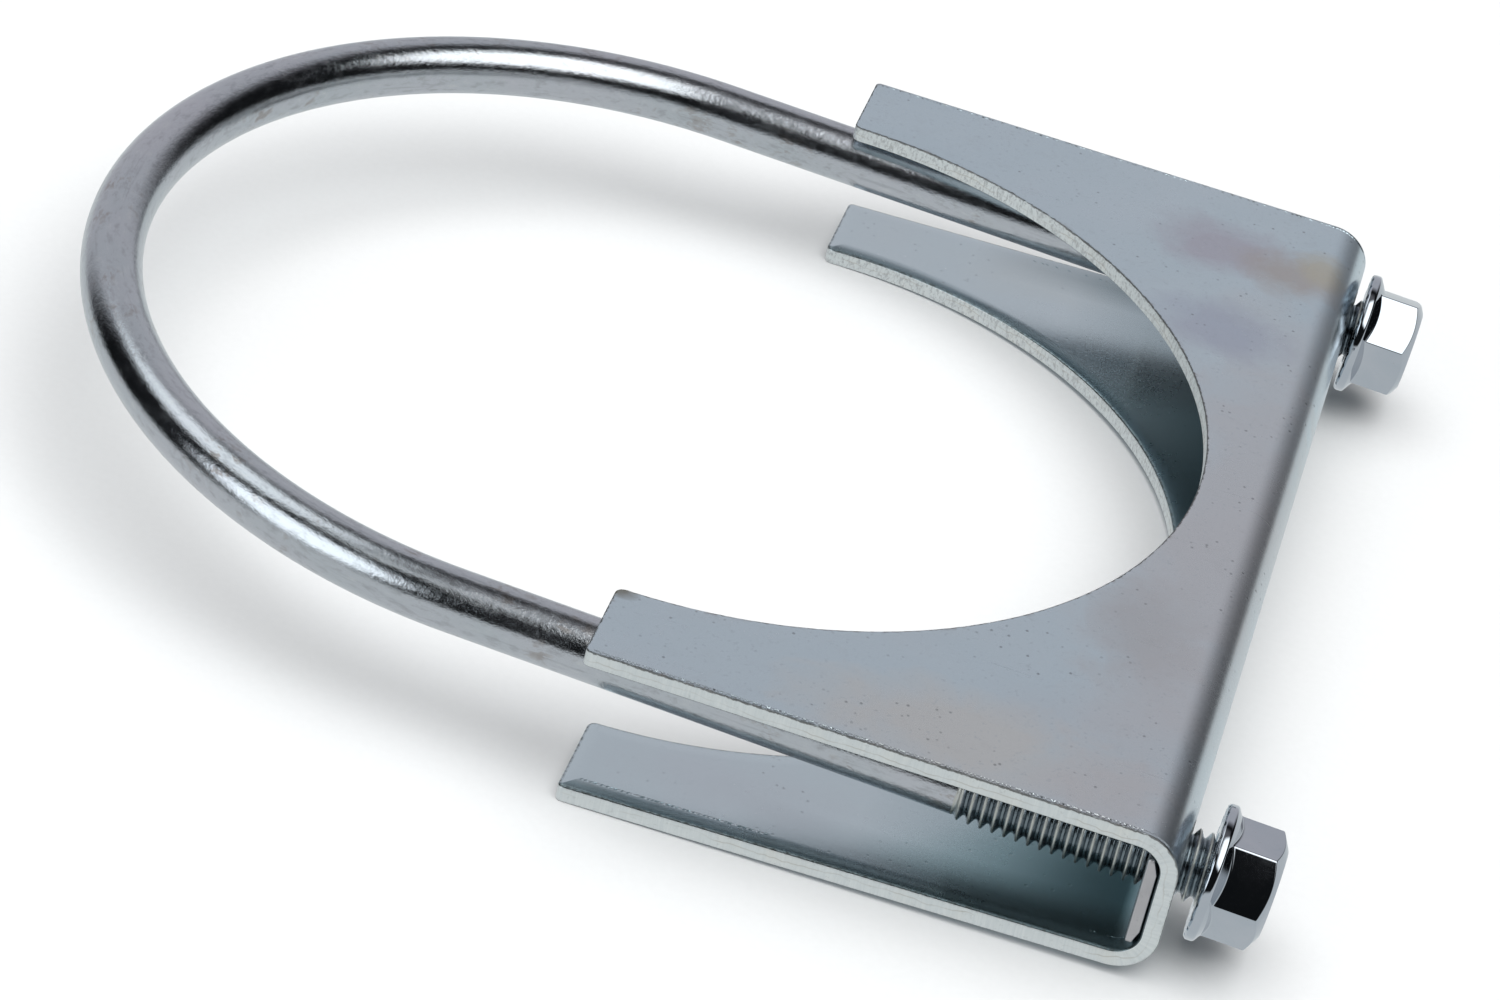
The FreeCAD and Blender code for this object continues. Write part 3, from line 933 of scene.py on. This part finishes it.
def cut_edge():
    """A sheared edge: pale, streaked across the sheet, torn, and dark next to the burr, partly in
    its own tone and partly as a painted dark reflection.
    """
    m = Shader("cut_edge")
    at = m.attribute("blank")
    s, y, out = m.split(at)
    streak = m.noise(m.scaled(at, (1, 1, 0.12)), 2400, 3, 0.6)
    fine = m.noise(at, 1300, 4, 0.65)
    cloud = m.noise(at, 110, 3, 0.6)
    tone = m.blend(m.ramp(streak, 0.3, 0.7), EDGE_LOW, EDGE_HIGH)
    tone = m.blend(m.ramp(cloud, 0.55, 0.75, 0, 0.5), tone, EDGE_YELLOW)
    tone = m.blend(m.ramp(fine, 0.40, 0.26, 0, 0.45), tone, EDGE_GREY)

    # The pipe seats are pitted all along.
    seat = m.ramp(m.math("ABSOLUTE", y), 0.0782, 0.0770)
    torn = m.noise(m.scaled(at, (1, 1, 0.5)), 2400, 4, 0.7, 0.6)
    pits = m.times(seat, m.ramp(torn, 0.50, 0.40))
    tone = m.blend(m.times(pits, 0.55), tone, SEAT_PIT)

    # A fracture line wanders along the middle of the edge.
    height = m.times(out, 1 / MM)
    wander = m.ramp(m.noise(m.scaled(at, (1, 1, 0)), 160, 3, 0.6), 0.3, 0.7, -0.45, 0.45)
    line = m.ramp(m.math("ABSOLUTE", m.plus(height, wander)), 0.13, 0.03)
    line = m.times(line, m.ramp(cloud, 0.42, 0.58))
    tone = m.blend(m.times(line, 0.45), tone, FRACTURE)

    # A dark line along the burr on the upper flange's outer face: partly the burr's own tone,
    # partly a painted dark reflection.
    depth = m.plus(height, m.ramp(fine, 0.3, 0.7, -0.14, 0.14))
    burr = m.times(m.ramp(depth, 1.10, 1.22), m.ramp(s, -0.012, 0.012, 0.0, 0.8))
    tone = m.blend(burr, tone, EDGE_BURR_AND_REFLECTION)

    normal = m.bump(streak, 0.5, 0.00004)
    normal = m.bump(fine, 0.5, 0.00004, normal)
    normal = m.bump(m.times(torn, seat), 0.8, 0.00012, normal)
    return m.metal(tone, m.ramp(streak, 0.3, 0.7, 0.36, 0.50), normal)


STRAP_DARK = (0.3, 0.3, 0.3, 1)


def strap_zinc(name, low, high):
    """Dull zinc on the backing strap, between two tones."""
    m = Shader(name)
    at = m.object_coordinates()
    tone = m.blend(m.ramp(m.noise(at, 60, 3, 0.55, 0.5), 0.35, 0.65), low, high)
    speck = m.noise(at, 1500, 3, 0.6)
    tone = m.blend(m.ramp(speck, 0.35, 0.25, 0, 0.4), tone, STRAP_DARK)
    grain = m.noise(at, 900, 4, 0.6)
    return m.metal(tone, m.ramp(grain, 0.3, 0.7, 0.34, 0.5), m.bump(grain, 0.3, 0.00004))


# Colours of the rod: its ground tones, marks, thread crests and the painted shade in the thread's
# roots.
ROD_LOW = (0.53, 0.56, 0.585, 1)
ROD_HIGH = (0.575, 0.575, 0.61, 1)
DRAWN_DARK = (0.36, 0.38, 0.40, 1)
MOTTLE_DARK = (0.34, 0.345, 0.36, 1)
MOTTLE_PALE = (0.66, 0.67, 0.67, 1)
ROD_BROWN = (0.27, 0.22, 0.19, 1)
CREST_PALE = (0.64, 0.635, 0.58, 1)
ROOT_SHADE = (0.09, 0.13, 0.15, 1)


def rod_zinc():
    """Bright zinc on drawn rod, with painted shade in the thread's roots, pale crests and sheared
    ends.
    """
    m = Shader("rod_zinc")
    at = m.attribute("rod")
    deep, on_thread, end = m.split(m.attribute("thread"))
    drawn = m.noise(m.scaled(at, (0.06, 1, 1)), 1300, 3, 0.6)
    cloud = m.noise(m.scaled(at, (0.5, 1, 1)), 75, 3, 0.6, 0.4)
    mottle = m.noise(m.scaled(at, (0.45, 1, 1)), 900, 4, 0.65)
    stain = m.times(m.ramp(m.noise(at, 130, 3, 0.6), 0.55, 0.66), m.ramp(mottle, 0.48, 0.58))
    flank = m.math("SUBTRACT", on_thread, end)
    crest = m.times(flank, m.ramp(deep, 0.30, 0.06))
    root = m.times(flank, m.ramp(deep, 0.40, 0.85))
    tone = m.blend(m.ramp(cloud, 0.35, 0.7), ROD_LOW, ROD_HIGH)
    tone = m.blend(m.ramp(drawn, 0.60, 0.75, 0, 0.4), tone, DRAWN_DARK)
    tone = m.blend(m.ramp(mottle, 0.48, 0.30, 0, 0.50), tone, MOTTLE_DARK)
    tone = m.blend(m.ramp(mottle, 0.56, 0.70, 0, 0.40), tone, MOTTLE_PALE)
    tone = m.blend(m.times(stain, 0.55), tone, ROD_BROWN)
    tone = m.blend(m.times(crest, 0.8), tone, CREST_PALE)
    # Painted shade in the thread's roots.
    tone = m.blend(m.times(root, 0.75), tone, ROOT_SHADE)

    rough = m.plus(m.ramp(cloud, 0.3, 0.7, 0.11, 0.15), m.ramp(mottle, 0.45, 0.7, 0.0, 0.09))
    rough = m.plus(rough, m.times(m.plus(crest, end), 0.25))

    sheared = m.noise(m.scaled(m.object_coordinates(), (1, 0.3, 1)), 1400, 3, 0.6)
    sparkle = m.noise(m.scaled(at, (0.6, 1, 1)), 1900, 4, 0.7)
    normal = m.bump(m.noise(m.scaled(at, (0.25, 1, 1)), 110, 2, 0.5), 0.35, 0.00012)
    normal = m.bump(drawn, 0.10, 0.00001, normal)
    normal = m.bump(m.times(sheared, end), 0.8, 0.00012, normal)
    normal = m.bump(sparkle, 0.85, 0.00005, normal)
    return m.metal(tone, rough, normal)


NUT_LOW = (0.50, 0.535, 0.58, 1)
NUT_HIGH = (0.55, 0.57, 0.61, 1)
NUT_FLECK = (0.40, 0.38, 0.36, 1)
NUT_ROOT_SHADE = (0.14, 0.18, 0.20, 1)


def nut_zinc(name, cloud_scale):
    """Near-mirror zinc over a forged nut: small dents and flecks, and painted shade in the thread's
    roots.
    """
    m = Shader(name)
    at = m.object_coordinates()
    deep = m.split(m.attribute("thread"))[0]
    cloud = m.noise(at, cloud_scale, 3, 0.55, 0.5)
    fine = m.noise(at, 2200, 3, 0.6)
    flecks = m.times(m.ramp(m.cells(at, 1400), 0.16, 0.06), m.ramp(m.noise(at, 500, 2), 0.55, 0.62))
    tone = m.blend(m.ramp(cloud, 0.35, 0.7), NUT_LOW, NUT_HIGH)
    tone = m.blend(m.times(flecks, 0.4), tone, NUT_FLECK)
    # Painted shade in the thread's roots.
    tone = m.blend(m.times(deep, 0.7), tone, NUT_ROOT_SHADE)
    rough = m.plus(m.ramp(cloud, 0.3, 0.7, 0.03, 0.06), m.ramp(fine, 0.4, 0.8, 0.0, 0.03))
    normal = m.bump(m.noise(at, 230, 2, 0.5), 0.4, 0.00005)
    normal = m.bump(m.plus(fine, flecks), 0.15, 0.00001, normal)
    return m.metal(tone, rough, normal)


# ---------------------------------------------------------------- studio

def direction(azimuth, elevation):
    """A unit direction; azimuth runs from the front, -Y, towards +X."""
    a, e = math.radians(azimuth), math.radians(elevation)
    return (math.sin(a) * math.cos(e), -math.cos(a) * math.cos(e), math.sin(e))


DARK = (0.008, 0.009, 0.010, 1)
GLOOM = (0.15, 0.15, 0.16, 1)
TABLE = (0.66, 0.70, 0.715, 1)
SWEEP = (0.54, 0.55, 0.59, 1)
# Round lights: azimuth, elevation, outer and inner angular radius in degrees, whether the
# left half is flagged off, colour.
LIGHTS = (
    (-112, 58, 24, 11, False, (1.22, 1.30, 1.34, 1)),
    (-42, 71, 9, 4, False, (0.95, 1.00, 1.02, 1)),
    (52, 64, 33, 23, True, (2.05, 2.14, 2.16, 1)),
    (-42, 24, 25.5, 19.5, False, (1.72, 1.84, 1.92, 1)),
)


BACKDROP = (0.93, 0.93, 0.93, 1)


def studio_world():
    """A dark studio: round softboxes in front and overhead, a pale sweep behind, a table below."""
    world = bpy.data.worlds.new("studio")
    bpy.context.scene.world = world
    world.use_nodes = True
    g = Graph(world.node_tree)
    way = g.node("ShaderNodeTexCoord").outputs["Generated"]
    x, y, z = g.split(way)
    colour = g.blend(g.step(z, 0.86, 0.96), DARK, GLOOM)
    turn = g.math("ARCTAN2", x, y)
    right = g.step(turn, math.radians(45), math.radians(8))
    left = g.step(turn, math.radians(-74), math.radians(-52))
    sweep = g.times(g.times(right, left), g.step(z, 0.86, 0.66))
    colour = g.blend(sweep, colour, SWEEP)
    # The table's far edge lies lower behind and to the left than in front and to the right.
    horizon = g.math("MULTIPLY_ADD", x, 0.15, g.math("MULTIPLY_ADD", y, -0.09, -0.03))
    colour = g.blend(g.step(g.math("SUBTRACT", z, horizon), 0.06, -0.05), colour, TABLE)
    for azimuth, elevation, outer, inner, flagged, shade in LIGHTS:
        shape = g.disc(way, azimuth, elevation, outer, inner)
        if flagged:
            shape = g.times(shape, g.step(x, -0.04, 0.08))
        colour = g.blend(shape, colour, shade)
    lit = g.node("ShaderNodeBackground")
    g.put(colour, lit.inputs["Color"])
    seen = g.node("ShaderNodeBackground")
    g.put(BACKDROP, seen.inputs["Color"])
    pick = g.node("ShaderNodeMixShader")
    g.put(g.node("ShaderNodeLightPath").outputs["Is Camera Ray"], pick.inputs[0])
    g.put(lit.outputs[0], pick.inputs[1])
    g.put(seen.outputs[0], pick.inputs[2])
    g.put(pick.outputs[0], g.node("ShaderNodeOutputWorld").inputs["Surface"])


# The table, in millimetres.
TABLE_RADIUS = 3000.0
TABLE_POINTS = 96
TABLE_CLEAR = 0.02
TABLE_LOW = (0.55, 0.55, 0.55, 1)
TABLE_HIGH = (0.56, 0.56, 0.56, 1)


def make_floor():
    """A plain pale round table top under the saddle's lower flange."""
    low = CAD_BOX[0][2] / MM - TABLE_CLEAR
    turns = [TURN * n / TABLE_POINTS for n in range(TABLE_POINTS)]
    verts = [(0, 0, low)]
    verts += [(TABLE_RADIUS * math.cos(t), TABLE_RADIUS * math.sin(t), low) for t in turns]
    faces = [(0, n + 1, (n + 1) % TABLE_POINTS + 1) for n in range(TABLE_POINTS)]
    obj = new_piece("table", verts, faces, smooth=False)
    m = Shader("table_white")
    grain = m.noise(m.object_coordinates(), 900, 2)
    m.put(m.blend(m.ramp(grain, 0.3, 0.7), TABLE_LOW, TABLE_HIGH), m.bsdf.inputs["Base Color"])
    m.bsdf.inputs["Roughness"].default_value = 0.9
    m.bsdf.inputs["Specular IOR Level"].default_value = 0.0
    obj.data.materials.append(m.material)
    obj.visible_glossy = False


# The overhead light, in metres and watts. It lights the table and stays out of the reflections.
OVERHEAD_AT = Vector((0.3, -0.3, 4.0))
OVERHEAD_SIZE = 6.0
OVERHEAD_POWER = 330


def overhead_light():
    """A big soft square light that faces the part."""
    light = bpy.data.lights.new("overhead", "AREA")
    light.shape = "SQUARE"
    light.size = OVERHEAD_SIZE
    light.energy = OVERHEAD_POWER
    obj = bpy.data.objects.new("overhead", light)
    bpy.context.scene.collection.objects.link(obj)
    obj.location = OVERHEAD_AT
    obj.rotation_euler = (-OVERHEAD_AT).to_track_quat("-Z", "Y").to_euler()
    obj.visible_glossy = False


# The camera: where it is, in metres, its axes, and its lens and sensor in millimetres.
CAMERA_AT = (0.076677, -0.549021, 0.365701)
CAMERA_RIGHT = (0.95053393, 0.25126174, 0.18262747)
CAMERA_DOWN = (0.29137305, -0.51749765, -0.80454827)
CAMERA_AHEAD = (-0.10764291, 0.81796315, -0.56510997)
LENS = 114.69
SENSOR = 36
CAMERA_REACH = 50


def make_camera():
    camera = bpy.data.cameras.new("camera")
    camera.sensor_width = SENSOR
    camera.lens = LENS
    camera.clip_end = CAMERA_REACH
    obj = bpy.data.objects.new("camera", camera)
    bpy.context.scene.collection.objects.link(obj)
    axes = zip(CAMERA_RIGHT, CAMERA_DOWN, CAMERA_AHEAD, CAMERA_AT)
    obj.matrix_world = Matrix([(r, -d, -a, at) for r, d, a, at in axes] + [(0, 0, 0, 1)])
    bpy.context.scene.camera = obj


def place(obj, body, node, slot, *materials):
    """Give a piece its materials and its body, and hide the CAD node it stands for. slot is not
    used.
    """
    for material in materials:
        obj.data.materials.append(material)
    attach(obj, body)
    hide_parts(node)


STRAP_FACE = ((0.56, 0.60, 0.63, 1), (0.63, 0.65, 0.66, 1))
STRAP_EDGE = ((0.50, 0.48, 0.49, 1), (0.59, 0.57, 0.575, 1))
# The scale of each nut's clouding, so that the two don't match.
NUT_CLOUDS = {"near": 160, "far": 169}

studio_world()
make_camera()
make_floor()
overhead_light()

place(make_saddle(), "saddle", "saddle", "saddle_zinc", sheet_zinc(), cut_edge())
strap_looks = (strap_zinc("strap_face", *STRAP_FACE), strap_zinc("strap_edge", *STRAP_EDGE))
place(make_strap(), "saddle", "backing_strap", "strap_zinc", *strap_looks)
place(make_u_bolt(), "bolt", "u_bolt", "bolt_zinc", rod_zinc())
for label, (side, pitches, turn) in NUTS.items():
    nut = make_nut(f"flange_nut_{label}", side, pitches, turn)
    look = nut_zinc(f"nut_zinc_{label}", NUT_CLOUDS[label])
    place(nut, f"{label}_nut", f"nut_{label}", "nut_zinc", look)

bpy.context.scene.view_settings.view_transform = "Standard"
